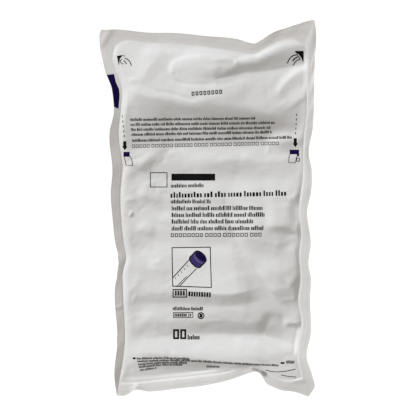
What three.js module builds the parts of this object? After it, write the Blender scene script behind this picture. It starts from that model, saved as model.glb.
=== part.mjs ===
// A sealed, soft plastic film pack of capped test tubes, lying on its formed back.
//
// The pack is made on a thermoforming line. A white bottom web is drawn into a deep pocket, rows of
// tubes are laid crosswise in it, and a flat lid web is heat-sealed to the rim. The film beyond the
// seal line stands out around the pocket as a soft, wavy brim that droops a little. The pack is
// opaque and is never opened here, so it is one closed solid.
//
// Millimetres, +Z up. X runs across the pack and +Y runs to its peel-open head end. The origin is
// at the middle of the pack's outline, on the surface that the flat back rests on.

import * as THREE from 'three';

// Overall sizes of the outline, seen from above.
const PACK_WIDTH = 152;
const PACK_LENGTH = 264.4;

// Heights above the flat back.
const RIM_HEIGHT = 82; // seal line beside the tubes
const HEAD_DROP = 8; // how much lower the head panel lies, where the top layer has no tubes

// Sealed edge.
const SEAL_WIDTH = 9; // film beyond the seal line, measured along the film
const SEAL_THICKNESS = 0.8;
const SEAL_MIN_DROOP = 0.8;
const SEAL_MAX_DROOP = 3;

// Formed pocket under the rim.
const WALL_DRAFT = 4.5; // how far a wall leans in from rim to back
const FOOT_DRAFT = 8.5; // the same for the foot's wall, whose seal line is tucked in at one place
const WALL_BULGE = 1.6; // how far the stuffed film stands out at mid height
const BACK_RADIUS = 15; // between walls and back
const FLOOR_CORNER_RADIUS = 6; // corners of the flat back itself

// Rows of tubes that show through the lid, laid from the foot towards the head panel.
const TUBE_PITCH = 22.2; // the width of a tube's cap
const FOOT_TO_FIRST_ROW = 19.8; // from the foot of the outline
const HEAD_PANEL_LENGTH = 86; // from the head of the outline, with no tubes in the top layer
const HEAD_SLOPE_LENGTH = 30; // of the lid down from the last row
const TUBE_RIDGE_HEIGHT = 1;
const TUBE_RIDGE_FADE = 14; // over which a ridge dies out beside the seal line

// Dip of the lid just inside the seal line.
const LID_DIP = 1.6;
const LID_DIP_WIDTH = 7;

// Mesh fineness.
const CELLS_ACROSS = 32;
const CELLS_ALONG = 56;
const WALL_RINGS = 6;
const BACK_RINGS = 4;

// Each edge is a list of [share of the way along it, inset from the outline's box].
// Left and right edges run from foot to head, foot and head edges run from left to right.
const OUTLINE = {
  left: [
    [0, 12.2], [0.046, 10.5], [0.152, 12.6], [0.292, 10.9], [0.37, 13.9], [0.42, 11], [0.48, 9.3],
    [0.556, 7.9], [0.607, 9], [0.724, 7.2], [0.775, 10], [0.806, 9.6], [0.826, 9], [0.845, 8.1],
    [0.864, 6.2], [0.884, 4.2], [0.904, 3], [0.923, 1.9], [0.943, 0.8], [0.967, 0], [0.985, 0],
    [1, 1],
  ],
  right: [
    [0, 5.7], [0.027, 1.4], [0.052, 2.6], [0.106, 6.8], [0.167, 4], [0.257, 4.5], [0.315, 4],
    [0.352, 5.6], [0.403, 4], [0.493, 6.4], [0.549, 3.6], [0.599, 3.3], [0.647, 5.3], [0.714, 2.4],
    [0.769, 1.6], [0.884, 1], [0.955, 0], [0.974, 0.1], [1, 1.2],
  ],
  foot: [
    [0, 0.6], [0.043, 0.7], [0.102, 4.7], [0.155, 3.6], [0.31, 5.4], [0.483, 8.3], [0.583, 11.4],
    [0.698, 16.7], [0.724, 17.6], [0.755, 15], [0.775, 10.1], [0.811, 7], [0.846, 5], [0.937, 3],
    [1, 0],
  ],
  head: [
    [0, 7.2], [0.063, 6.9], [0.233, 9.1], [0.341, 9.2], [0.5, 11.4], [0.647, 13.8], [0.7, 16.2],
    [0.72, 16.6], [0.75, 14.2], [0.8, 9.2], [0.87, 5.4], [0.934, 2.2], [0.968, 0.6], [0.991, 0],
    [1, 0.2],
  ],
};

const SEAL_LINE = {
  left: [
    [0, 13.8], [0.046, 15.8], [0.108, 17.7], [0.261, 16.7], [0.329, 16.6], [0.367, 18.7],
    [0.414, 17.1], [0.566, 14.9], [0.644, 16.3], [0.73, 13.5], [0.819, 15.2], [0.873, 15.8],
    [0.928, 11.3], [0.966, 9.1], [1, 11.5],
  ],
  right: [
    [0, 10.6], [0.054, 13.6], [0.115, 12.6], [0.16, 10.6], [0.232, 13], [0.289, 11.4],
    [0.379, 12.2], [0.428, 10.9], [0.49, 12.4], [0.605, 9.6], [0.716, 8.9], [0.788, 6.9],
    [0.895, 6.7], [0.955, 6.3], [1, 8.1],
  ],
  foot: [
    [0, 10], [0.094, 10.2], [0.2, 11.8], [0.36, 14], [0.569, 17], [0.739, 20.4], [0.81, 17.3],
    [0.853, 14.1], [0.909, 12], [0.961, 12.1], [1, 13.6],
  ],
  head: [
    [0, 18.2], [0.036, 15.6], [0.15, 16.2], [0.285, 16.9], [0.49, 19.4], [0.656, 22.7],
    [0.739, 23.7], [0.807, 18.7], [0.883, 14.4], [0.951, 14], [1, 17.7],
  ],
};

// Sunken folds of the lid, as lines [x, distance from that end of the outline] with a depth and the
// distance that they reach to either side.
const HEAD_FOLDS = [
  { from: [-18, 36], to: [16, 35], depth: 2.6, reach: 12 }, // shallow basin in the head panel
  { from: [20, 36], to: [60, 24], depth: 2.8, reach: 9 }, // runs to the head's right corner
  { from: [50, 48], to: [68, 37], depth: 2.6, reach: 6 }, // lens dent at the right edge
  { from: [-46, 105], to: [-30, 94], depth: 1.6, reach: 6 }, // between the first rows on the left
];
const FOOT_FOLDS = [
  { from: [42, 117], to: [64, 112], depth: 1.6, reach: 5 }, // short crease at the right edge
  { from: [8, 68], to: [36, 71], depth: 1.4, reach: 6 }, // between rows
  { from: [10, 48], to: [40, 52], depth: 1.6, reach: 6 }, // between rows
];

// Rows of tubes under the lid, as the Y of the first and how many there are.
const firstRowY = FOOT_TO_FIRST_ROW - PACK_LENGTH / 2;
const roomForRows = PACK_LENGTH - HEAD_PANEL_LENGTH - FOOT_TO_FIRST_ROW;
const rowCount = Math.floor(roomForRows / TUBE_PITCH) + 1;
const lastRowY = firstRowY + (rowCount - 1) * TUBE_PITCH;

// Smooth curve through the knots of one edge.
function insetCurve(knots) {
  const shares = knots.map((knot) => knot[0]);
  const insets = knots.map((knot) => knot[1]);
  const curve = new THREE.CubicInterpolant(shares, insets, 1);
  return (share) => curve.evaluate(share)[0];
}

// The four edges of a wavy rectangle as functions from a share in 0..1 to a point.
function edgeCurves(knots) {
  const left = insetCurve(knots.left);
  const right = insetCurve(knots.right);
  const foot = insetCurve(knots.foot);
  const head = insetCurve(knots.head);
  const halfWidth = PACK_WIDTH / 2;
  const halfLength = PACK_LENGTH / 2;
  const footLeft = new THREE.Vector2(left(0) - halfWidth, foot(0) - halfLength);
  const footRight = new THREE.Vector2(halfWidth - right(0), foot(1) - halfLength);
  const headLeft = new THREE.Vector2(left(1) - halfWidth, halfLength - head(0));
  const headRight = new THREE.Vector2(halfWidth - right(1), halfLength - head(1));
  const { lerp } = THREE.MathUtils;
  return {
    left: (t) => new THREE.Vector2(left(t) - halfWidth, lerp(footLeft.y, headLeft.y, t)),
    right: (t) => new THREE.Vector2(halfWidth - right(t), lerp(footRight.y, headRight.y, t)),
    foot: (s) => new THREE.Vector2(lerp(footLeft.x, footRight.x, s), foot(s) - halfLength),
    head: (s) => new THREE.Vector2(lerp(headLeft.x, headRight.x, s), halfLength - head(s)),
  };
}

// Shares [s, t] of the lid's border cells in one anticlockwise loop, seen from above.
function borderShares() {
  const shares = [];
  for (let i = 0; i < CELLS_ACROSS; i += 1) shares.push([i / CELLS_ACROSS, 0]);
  for (let j = 0; j < CELLS_ALONG; j += 1) shares.push([1, j / CELLS_ALONG]);
  for (let i = CELLS_ACROSS; i > 0; i -= 1) shares.push([i / CELLS_ACROSS, 1]);
  for (let j = CELLS_ALONG; j > 0; j -= 1) shares.push([0, j / CELLS_ALONG]);
  return shares;
}

// A point inside the four edges (Coons patch).
function pointInside(edges, s, t) {
  const alongX = edges.left(t).multiplyScalar(1 - s).addScaledVector(edges.right(t), s);
  const alongY = edges.foot(s).multiplyScalar(1 - t).addScaledVector(edges.head(s), t);
  const corners = new THREE.Vector2();
  corners.addScaledVector(edges.left(0), (1 - s) * (1 - t));
  corners.addScaledVector(edges.right(0), s * (1 - t));
  corners.addScaledVector(edges.left(1), (1 - s) * t);
  corners.addScaledVector(edges.right(1), s * t);
  return alongX.add(alongY).sub(corners);
}

// Points of the four edges in one loop.
function loopOf(edges) {
  return borderShares().map(([s, t]) => pointInside(edges, s, t));
}

// Height of the seal line, which follows what lies under it.
function rimHeight(point) {
  const slopeEnd = lastRowY + HEAD_SLOPE_LENGTH;
  return RIM_HEIGHT - HEAD_DROP * THREE.MathUtils.smoothstep(point.y, lastRowY, slopeEnd);
}

// Rounded ridges over the rows of tubes, highest over the middle of each tube.
function tubeRidges(point) {
  const rows = (point.y - firstRowY) / TUBE_PITCH;
  const fromFoot = THREE.MathUtils.smoothstep(rows, -0.5, 0);
  const fromHead = 1 - THREE.MathUtils.smoothstep(rows, rowCount - 1, rowCount - 0.5);
  return TUBE_RIDGE_HEIGHT * Math.cos(2 * Math.PI * rows) * fromFoot * fromHead;
}

// Depth of one fold at a point: full along its line, and nothing beyond its reach.
function foldDepth({ from, to, depth, reach }, point) {
  const along = to.clone().sub(from);
  const share = THREE.MathUtils.clamp(point.clone().sub(from).dot(along) / along.lengthSq(), 0, 1);
  const distance = from.clone().addScaledVector(along, share).distanceTo(point);
  return depth * (1 - THREE.MathUtils.smoothstep(distance, 0, reach));
}

// The folds with their ends as points, measured in from the head or out from the foot.
function placedFolds() {
  const fromHead = ([x, distance]) => new THREE.Vector2(x, PACK_LENGTH / 2 - distance);
  const fromFoot = ([x, distance]) => new THREE.Vector2(x, distance - PACK_LENGTH / 2);
  const place = (folds, toPoint) => folds.map((fold) => {
    return { ...fold, from: toPoint(fold.from), to: toPoint(fold.to) };
  });
  return [...place(HEAD_FOLDS, fromHead), ...place(FOOT_FOLDS, fromFoot)];
}

// Height of the lid at a point that lies inset millimetres inside the seal line.
function lidHeight(point, inset, folds) {
  const ridges = tubeRidges(point) * THREE.MathUtils.smoothstep(inset, 0, TUBE_RIDGE_FADE);
  const sunk = folds.reduce((sum, fold) => sum + foldDepth(fold, point), LID_DIP);
  return rimHeight(point) + ridges - sunk * THREE.MathUtils.smoothstep(inset, 0, LID_DIP_WIDTH);
}

// How far the free edge hangs below the seal line: a fixed width of film that reaches less far
// sideways hangs lower.
function droopOf(outlinePoint, sealPoint) {
  const reach = outlinePoint.distanceTo(sealPoint);
  const hang = Math.sqrt(Math.max(SEAL_WIDTH ** 2 - reach ** 2, 0));
  return THREE.MathUtils.clamp(hang, SEAL_MIN_DROOP, SEAL_MAX_DROOP);
}

// Moves a point of a rectangle's edge onto the rounded corner of that rectangle.
function roundCorner(point, halfSize, radius) {
  const beyondX = Math.abs(point.x) - (halfSize.x - radius);
  const beyondY = Math.abs(point.y) - (halfSize.y - radius);
  if (beyondX <= 0 || beyondY <= 0) return point.clone();
  const scale = radius / Math.hypot(beyondX, beyondY);
  const x = Math.sign(point.x) * (halfSize.x - radius + beyondX * scale);
  const y = Math.sign(point.y) * (halfSize.y - radius + beyondY * scale);
  return new THREE.Vector2(x, y);
}

// The foot of the pocket's walls: a plain rectangle with round corners, index for index beside the
// seal loop.
function plainPocketLoop(sealLoop) {
  const box = new THREE.Box2().setFromPoints(sealLoop).expandByScalar(-WALL_DRAFT);
  box.min.y += FOOT_DRAFT - WALL_DRAFT;
  const centre = box.getCenter(new THREE.Vector2());
  const halfSize = box.getSize(new THREE.Vector2()).multiplyScalar(0.5);
  const cornerRadius = BACK_RADIUS + FLOOR_CORNER_RADIUS;
  return borderShares().map(([s, t]) => {
    const point = new THREE.Vector2((2 * s - 1) * halfSize.x, (2 * t - 1) * halfSize.y);
    return roundCorner(point, halfSize, cornerRadius).add(centre);
  });
}

// Direction out of a loop at each of its points.
function outwardNormals(loop) {
  return loop.map((point, k) => {
    const before = loop[(k + loop.length - 1) % loop.length];
    const after = loop[(k + 1) % loop.length];
    const tangent = after.clone().sub(before).normalize();
    return new THREE.Vector2(tangent.y, -tangent.x);
  });
}

// Rings of the pocket from just under the rim to the edge of the flat back.
function pocketRings(sealLoop) {
  const plainLoop = plainPocketLoop(sealLoop);
  const normals = outwardNormals(plainLoop);
  const rings = [];
  for (let ring = 1; ring <= WALL_RINGS; ring += 1) {
    const share = ring / WALL_RINGS;
    const bulge = WALL_BULGE * Math.sin(Math.PI * share);
    rings.push(sealLoop.map((sealPoint, k) => {
      const top = rimHeight(sealPoint) - SEAL_THICKNESS;
      const place = sealPoint.clone().lerp(plainLoop[k], Math.sqrt(share));
      place.addScaledVector(normals[k], bulge);
      return new THREE.Vector3(place.x, place.y, THREE.MathUtils.lerp(top, BACK_RADIUS, share));
    }));
  }
  for (let ring = 1; ring <= BACK_RINGS; ring += 1) {
    const angle = (Math.PI / 2) * (ring / BACK_RINGS);
    const inset = BACK_RADIUS * (1 - Math.cos(angle));
    const height = ring === BACK_RINGS ? 0 : BACK_RADIUS * (1 - Math.sin(angle));
    rings.push(plainLoop.map((point, k) => {
      const place = point.clone().addScaledVector(normals[k], -inset);
      return new THREE.Vector3(place.x, place.y, height);
    }));
  }
  return rings;
}

// Vertices and triangles of the closed skin, added piece by piece.
class Skin {
  positions = [];

  triangles = [];

  addPoint(x, y, z) {
    this.positions.push(x, y, z);
    return this.positions.length / 3 - 1;
  }

  addRing(points) {
    return points.map((point) => this.addPoint(point.x, point.y, point.z));
  }

  addQuad(a, b, c, d) {
    this.triangles.push(a, b, c, a, c, d);
  }

  // Band between two rings, the first nearer to the middle of the lid.
  stitch(first, second) {
    first.forEach((corner, k) => {
      const next = (k + 1) % first.length;
      this.addQuad(corner, second[k], second[next], first[next]);
    });
  }

  // Flat floor inside the last ring, facing down, as a fan round its middle.
  closeFloor(ring, points) {
    const middle = new THREE.Box3().setFromPoints(points).getCenter(new THREE.Vector3());
    const hub = this.addPoint(middle.x, middle.y, middle.z);
    ring.forEach((corner, k) => this.triangles.push(hub, ring[(k + 1) % ring.length], corner));
  }

  geometry() {
    const geometry = new THREE.BufferGeometry();
    geometry.setAttribute('position', new THREE.Float32BufferAttribute(this.positions, 3));
    geometry.setIndex(this.triangles);
    geometry.computeVertexNormals();
    return geometry;
  }
}

// The lid inside the seal line as a grid of cells. Returns the indices of its outer ring.
function addLid(skin, sealEdges) {
  const folds = placedFolds();
  const columns = [];
  for (let i = 0; i <= CELLS_ACROSS; i += 1) {
    const column = [];
    for (let j = 0; j <= CELLS_ALONG; j += 1) {
      const s = i / CELLS_ACROSS;
      const t = j / CELLS_ALONG;
      const point = pointInside(sealEdges, s, t);
      const inset = Math.min(s * PACK_WIDTH, (1 - s) * PACK_WIDTH, t * PACK_LENGTH, (1 - t) * PACK_LENGTH);
      column.push(skin.addPoint(point.x, point.y, lidHeight(point, inset, folds)));
    }
    columns.push(column);
  }
  for (let i = 0; i < CELLS_ACROSS; i += 1) {
    for (let j = 0; j < CELLS_ALONG; j += 1) {
      skin.addQuad(columns[i][j], columns[i + 1][j], columns[i + 1][j + 1], columns[i][j + 1]);
    }
  }
  return borderShares().map(([s, t]) => {
    return columns[Math.round(s * CELLS_ACROSS)][Math.round(t * CELLS_ALONG)];
  });
}

// Rings of the sealed edge, from the top of its free edge round to the seal line underneath.
function sealedEdgeRings(outlineLoop, sealLoop) {
  const freeEdge = outlineLoop.map((point, k) => {
    const height = rimHeight(sealLoop[k]) - droopOf(point, sealLoop[k]);
    return new THREE.Vector3(point.x, point.y, height);
  });
  const down = new THREE.Vector3(0, 0, -SEAL_THICKNESS);
  const freeEdgeUnder = freeEdge.map((point) => point.clone().add(down));
  const sealUnder = sealLoop.map((point) => {
    return new THREE.Vector3(point.x, point.y, rimHeight(point)).add(down);
  });
  return [freeEdge, freeEdgeUnder, sealUnder];
}

function packGeometry() {
  const outlineLoop = loopOf(edgeCurves(OUTLINE));
  const sealEdges = edgeCurves(SEAL_LINE);
  const sealLoop = loopOf(sealEdges);
  const skin = new Skin();
  const rings = [...sealedEdgeRings(outlineLoop, sealLoop), ...pocketRings(sealLoop)];
  let previous = addLid(skin, sealEdges);
  rings.forEach((points) => {
    const ring = skin.addRing(points);
    skin.stitch(previous, ring);
    previous = ring;
  });
  skin.closeFloor(previous, rings.at(-1));
  return skin.geometry();
}

// Puts the middle of the outline at X = 0, Y = 0 and the flat back at Z = 0.
function centreOnBack(geometry) {
  geometry.computeBoundingBox();
  const centre = geometry.boundingBox.getCenter(new THREE.Vector3());
  geometry.translate(-centre.x, -centre.y, -geometry.boundingBox.min.z);
  return geometry;
}

const whiteFilm = new THREE.MeshStandardMaterial({ color: 0xd8d6d2, roughness: 0.45, metalness: 0 });

const sealedPack = new THREE.Mesh(centreOnBack(packGeometry()), whiteFilm);
sealedPack.name = 'sealed_pack';

const pack = new THREE.Group();
pack.add(sealedPack);

export default pack;
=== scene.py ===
"""Looks of a sealed, soft film pack of capped test tubes: its two webs of film, its plain print and a
pale studio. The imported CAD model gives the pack's place and overall size.

Lengths in this script are millimetres until a mesh is made: X across the pack, +Y to the head end,
+Z up out of the lid. The film's surface is worked out as heights over the plan of the pack.
"""
import math

import bpy
import numpy as np
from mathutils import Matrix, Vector
from mathutils.bvhtree import BVHTree


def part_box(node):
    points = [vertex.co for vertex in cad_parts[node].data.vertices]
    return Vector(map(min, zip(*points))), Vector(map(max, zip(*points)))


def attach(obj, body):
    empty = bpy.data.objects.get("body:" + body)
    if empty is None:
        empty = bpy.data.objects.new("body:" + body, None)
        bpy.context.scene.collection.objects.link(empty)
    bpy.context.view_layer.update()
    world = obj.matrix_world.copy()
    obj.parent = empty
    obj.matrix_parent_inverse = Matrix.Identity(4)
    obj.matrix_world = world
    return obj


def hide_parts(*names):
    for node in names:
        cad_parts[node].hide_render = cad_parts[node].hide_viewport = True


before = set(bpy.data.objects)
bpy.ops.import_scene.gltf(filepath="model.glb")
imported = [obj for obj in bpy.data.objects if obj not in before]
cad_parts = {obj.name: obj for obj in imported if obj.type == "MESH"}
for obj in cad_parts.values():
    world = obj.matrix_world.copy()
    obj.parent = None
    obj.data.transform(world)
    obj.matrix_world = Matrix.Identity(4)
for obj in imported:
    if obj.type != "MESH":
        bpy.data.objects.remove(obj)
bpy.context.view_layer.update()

MM = 0.001
NODE = "sealed_pack"
LOW, HIGH = (np.array(corner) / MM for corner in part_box(NODE))
WIDTH, LENGTH, RIM_HEIGHT = HIGH - LOW
MIDDLE = (LOW + HIGH)[:2] / 2

# ---- The pack's shape ----

# Cells of the lid's mesh, and rings of the sealed edge, the walls and the bend into the back.
CELLS_ACROSS = 126
CELLS_ALONG = 230
SEAL_RINGS = 9
WALL_RINGS = 46
BACK_RINGS = 12
SHARP_ANGLE = 35  # degrees

# Film.
LID_THICKNESS = 0.22
FORMED_THICKNESS = 0.3
WEB_GAP = 0.04

# Sealed edge, which droops outside the seal line: how it slopes along each edge, as (share of the way
# from the foot or from the left, slope).
MIN_DROOP = 0.2
DROOP_POWER = 1.15
EDGE_TILT = {
    "foot": [(0, 0.03), (0.6, 0.04), (0.75, 0), (0.9, -0.09), (1, -0.18)],
    "right": [
        (0, -0.14), (0.06, 0.03), (0.15, 0.05), (0.6, 0.08), (0.7, 0.17), (0.8, 0.13), (0.87, 0), (1, 0.02),
    ],
    "head": [(0, 0.03), (0.4, 0.03), (0.55, 0.07), (0.68, 0.06), (0.76, 0.13), (0.88, 0.1), (1, 0.18)],
    "left": [(0, 0.25), (0.3, 0.27), (0.7, 0.27), (0.82, 0.12), (0.92, -0.12), (1, 0)],
}
# Its step down just outside the seal line, or up where the step is under 0, as (share, step).
SHOULDER = {
    "foot": [(0, 0.8), (0.6, 0.8), (0.68, -0.5), (0.74, -0.5), (0.8, 0.7), (1, 0.7)],
    "right": [(0, 0.8), (0.5, 0.8), (0.58, 1.2), (0.78, 1.2), (0.88, 0.5), (1, 0.6)],
    "head": [(0, -0.25), (1, -0.35)],
    "left": [(0, 0.4), (0.7, 0.4), (0.9, 0), (1, 0)],
}
SHOULDER_WIDTH = 0.9
RIPPLE_WAVES = (20, 60)  # whole waves round the pack
RIPPLE_SEED = 11
RIPPLE_HEIGHT = 0.22
RIPPLE_POWER = 1.5
PRESS_LINES = 2.5
PRESS_DEPTH = 0.05
REACH_PASSES, TILT_PASSES, SHOULDER_PASSES, RIPPLE_PASSES = 12, 60, 20, 2  # of smoothing

# Head end, which lies lower because its top layer has no tubes.
HEAD_DROP = 8.0

# Formed pocket.
WALL_DRAFT = 4.5
FOOT_DRAFT = 8.5
WALL_BULGE = 1.6
BACK_RADIUS = 15.0
FLOOR_CORNER_RADIUS = 6.0

# Rows of tubes under the lid, which lie cap to cap. The first is 19.8 from the foot of a pack 264.4 long.
CAP_DIAMETER = 22.2
FIRST_ROW_Y = 19.8 - 264.4 / 2

# Each edge is a list of (share of the way along it, inset from the outline's box). Left and right
# edges run from foot to head, foot and head edges run from left to right.
OUTLINE = {
    "left": [
        (0, 12.2), (0.046, 10.5), (0.152, 12.6), (0.292, 10.9), (0.37, 13.9), (0.42, 11), (0.48, 9.3),
        (0.556, 7.9), (0.607, 9), (0.724, 7.2), (0.775, 10), (0.806, 9.6), (0.826, 9), (0.845, 8.1),
        (0.864, 6.2), (0.884, 4.2), (0.904, 3), (0.923, 1.9), (0.943, 0.8), (0.967, 0), (0.985, 0), (1, 1),
    ],
    "right": [
        (0, 5.7), (0.027, 1.4), (0.052, 2.6), (0.106, 6.8), (0.167, 4), (0.257, 4.5), (0.315, 4),
        (0.352, 5.6), (0.403, 4), (0.493, 6.4), (0.549, 3.6), (0.599, 3.3), (0.647, 5.3), (0.714, 2.4),
        (0.769, 1.6), (0.884, 1), (0.955, 0), (0.974, 0.1), (1, 1.2),
    ],
    "foot": [
        (0, 0.6), (0.043, 0.7), (0.102, 4.7), (0.155, 3.6), (0.31, 5.4), (0.483, 8.3), (0.583, 11.4),
        (0.698, 16.7), (0.724, 17.6), (0.755, 15), (0.775, 10.1), (0.811, 7), (0.846, 5), (0.937, 3), (1, 0),
    ],
    "head": [
        (0, 7.2), (0.063, 6.9), (0.233, 9.1), (0.341, 9.2), (0.5, 11.4), (0.647, 13.8), (0.7, 16.2),
        (0.72, 16.6), (0.75, 14.2), (0.8, 9.2), (0.87, 5.4), (0.934, 2.2), (0.968, 0.6), (0.991, 0), (1, 0.2),
    ],
}
SEAL_LINE = {
    "left": [
        (0, 13.8), (0.046, 15.8), (0.108, 17.7), (0.261, 16.7), (0.329, 16.6), (0.367, 18.7), (0.414, 17.1),
        (0.566, 14.9), (0.644, 16.3), (0.73, 13.5), (0.819, 15.2), (0.873, 15.8), (0.928, 11.3), (0.966, 9.1),
        (1, 11.5),
    ],
    "right": [
        (0, 10.6), (0.054, 13.6), (0.115, 12.6), (0.16, 10.6), (0.232, 13), (0.289, 11.4), (0.379, 12.2),
        (0.428, 10.9), (0.49, 12.4), (0.605, 9.6), (0.716, 8.9), (0.788, 6.9), (0.895, 6.7), (0.955, 6.3),
        (1, 8.1),
    ],
    "foot": [
        (0, 10), (0.094, 10.2), (0.2, 11.8), (0.36, 14), (0.569, 17), (0.739, 20.4), (0.81, 17.3),
        (0.853, 14.1), (0.909, 12), (0.961, 12.1), (1, 13.6),
    ],
    "head": [
        (0, 18.2), (0.036, 15.6), (0.15, 16.2), (0.285, 16.9), (0.49, 19.4), (0.656, 22.7), (0.739, 23.7),
        (0.807, 18.7), (0.883, 14.4), (0.951, 14), (1, 17.7),
    ],
}


def smoothstep(value, start, end):
    share = np.clip((value - start) / (end - start), 0, 1)
    return share * share * (3 - 2 * share)


def mix(a, b, share):
    return a + (b - a) * share


def curve_through(knots):
    """Smooth curve through (place, value) knots."""
    places, values = np.array(knots, dtype=float).T
    slopes = np.gradient(values, places)

    def value_at(place):
        place = np.clip(np.asarray(place, dtype=float), places[0], places[-1])
        k = np.clip(np.searchsorted(places, place, side="right") - 1, 0, len(places) - 2)
        step = places[k + 1] - places[k]
        u = (place - places[k]) / step
        return (
            (2 * u**3 - 3 * u**2 + 1) * values[k]
            + (u**3 - 2 * u**2 + u) * step * slopes[k]
            + (3 * u**2 - 2 * u**3) * values[k + 1]
            + (u**3 - u**2) * step * slopes[k + 1]
        )

    return value_at


def edge_curves(knots):
    """The four edges of a wavy rectangle as functions from shares in 0..1 to points."""

    def edge(name, size, side):
        inset = curve_through(knots[name])
        return lambda share: side * (size / 2 - inset(share))

    def points(x, y):
        return np.stack(np.broadcast_arrays(x, y), axis=-1) + MIDDLE

    left, right = edge("left", WIDTH, -1), edge("right", WIDTH, 1)
    foot, head = edge("foot", LENGTH, -1), edge("head", LENGTH, 1)
    return {
        "left": lambda t: points(left(t), mix(foot(0), head(0), t)),
        "right": lambda t: points(right(t), mix(foot(1), head(1), t)),
        "foot": lambda s: points(mix(left(0), right(0), s), foot(s)),
        "head": lambda s: points(mix(left(1), right(1), s), head(s)),
    }


def points_inside(edges, s, t):
    """Points inside the four edges (Coons patch), for arrays of shares."""
    s1, t1 = s[..., None], t[..., None]
    along_x = mix(edges["left"](t), edges["right"](t), s1)
    along_y = mix(edges["foot"](s), edges["head"](s), t1)
    foot, head = (mix(edges["left"](end), edges["right"](end), s1) for end in (0, 1))
    return along_x + along_y - mix(foot, head, t1)


def lid_shares():
    """Shares (s, t) of the lid's grid, from left to right and from foot to head."""
    shares = [np.arange(cells + 1) / cells for cells in (CELLS_ACROSS, CELLS_ALONG)]
    return np.meshgrid(*shares, indexing="ij")


def border_of(grid):
    """The border of a grid as one loop, anticlockwise as seen from above."""
    return np.concatenate([grid[:-1, 0], grid[-1, :-1], grid[:0:-1, -1], grid[0, :0:-1]])


def border_shares():
    return [border_of(share) for share in lid_shares()]


def from_middle(points):
    """Arrays of x and of y from the pack's middle."""
    return np.moveaxis(points - MIDDLE, -1, 0)


def smooth_loop(values, passes):
    """Values round a closed loop, averaged with their neighbours in each pass."""
    for _ in range(passes):
        values = (np.roll(values, 1) + 2 * values + np.roll(values, -1)) / 4
    return values


# ---- Folds of the lid ----

PATH_STEPS = 8  # between two points of a path
FOLD_REACH = 1.1  # how far out a fold is worked out, as a share of its widest wall
SHARP_POWER = 1.3


def smooth_path(points):
    """Catmull-Rom points through a short list of points."""
    places = np.arange(len(points))
    dense = np.linspace(0, places[-1], PATH_STEPS * places[-1] + 1)
    columns = [curve_through(list(zip(places, column)))(dense) for column in zip(*points)]
    return np.stack(columns, axis=-1)


def beside_path(path, x, y):
    """For each point: signed distance from a path, positive to its left, and share along it."""
    best = np.full(x.shape, np.inf)
    side = np.zeros(x.shape)
    share = np.zeros(x.shape)
    count = len(path) - 1
    for k in range(count):
        start, step = path[k], path[k + 1] - path[k]
        along = np.clip(((x - start[0]) * step[0] + (y - start[1]) * step[1]) / (step @ step), 0, 1)
        off_x, off_y = x - start[0] - along * step[0], y - start[1] - along * step[1]
        distance = np.hypot(off_x, off_y)
        nearer = distance < best
        best = np.where(nearer, distance, best)
        side = np.where(nearer, np.sign(step[0] * off_y - step[1] * off_x), side)
        share = np.where(nearer, (k + along) / count, share)
    return best * side, share


def spread(values, share):
    """Values spaced evenly along a path, read at shares of it. One number stays as it is."""
    if np.isscalar(values):
        return values
    return curve_through(list(zip(np.linspace(0, 1, len(values)), values)))(share)


def fold_depth(x, y, points, left, right, sharp=0.6, fade=(0.3, 0.3)):
    """Depth of one sunken fold: a valley through points, whose two walls are left and right wide."""
    points = np.array(points, dtype=float)
    line = smooth_path(points[:, :2])
    result = np.zeros(x.shape)
    reach = max(np.max(left), np.max(right)) * FOLD_REACH
    low, high = line.min(axis=0) - reach, line.max(axis=0) + reach
    near = (x > low[0]) & (x < high[0]) & (y > low[1]) & (y < high[1])
    if not near.any():
        return result
    distance, share = beside_path(line, x[near], y[near])
    wall = np.where(distance > 0, spread(left, share), spread(right, share))
    rise = np.clip(1 - np.abs(distance) / wall, 0, 1)
    profile = mix(rise * rise * (3 - 2 * rise), rise**SHARP_POWER, sharp)
    start, end = fade
    fade_in = smoothstep(share, 0, start) if start else 1
    fade_out = 1 - smoothstep(share, 1 - end, 1) if end else 1
    result[near] = spread(points[:, 2], share) * profile * (fade_in * fade_out)
    return result


# The slope down from the last row of tubes to the low head panel: where it starts and where it meets
# the panel, as (x, y), how softly it meets it, as (x, reach), and how it bends, as (x, power).
HEAD_SLOPE_START = [
    (-66, 24), (-57, 36), (-50, 40), (-30, 44), (0, 46), (20, 47.4), (38, 51), (50, 54.8), (60, 55.5),
    (68, 54),
]
HEAD_KINK = [
    (-66, 93), (-58, 87), (-52, 82), (-45, 79), (-38, 77.5), (-25, 75.6), (-10, 72.2), (10, 68.8), (22, 65.8),
    (34, 63.6), (45, 63.6), (53, 66.5), (58, 70), (63, 74), (68, 82),
]
HEAD_KINK_REACH = [(-60, 4), (-48, 1.5), (-30, 1.5), (-12, 3), (0, 5), (20, 5), (40, 4), (55, 2.5), (68, 2.5)]
HEAD_SLOPE_BEND = [
    (-60, 1.35), (-45, 1.4), (-30, 1.55), (-15, 1.8), (20, 1.8), (38, 1.2), (50, 0.6), (68, 0.6),
]
SLOPE_SAMPLES = (-1, -0.5, 0, 0.5, 1)
# Share of the seal's own, gentler slope that the lid takes up towards the right, between places in x.
SEAL_PULL = 0.6
SEAL_PULL_PLACES = (38, 58)

# The seals at the sides come down to the head more gently, between these places in y. The left one
# does so further up the pack.
SEAL_SLOPE = (18, 84)
LEFT_SEAL_LAG = 13.0
LEFT_SEAL_PLACES = (-56, 10)

# The head's left corner stands higher than the rest of the head seal.
CORNER_PLACE = (-72, 124)
CORNER_LIFT = 5.8
CORNER_LIFT_REACH = 70.0
CORNER_LIFT_POWER = 1.2

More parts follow.
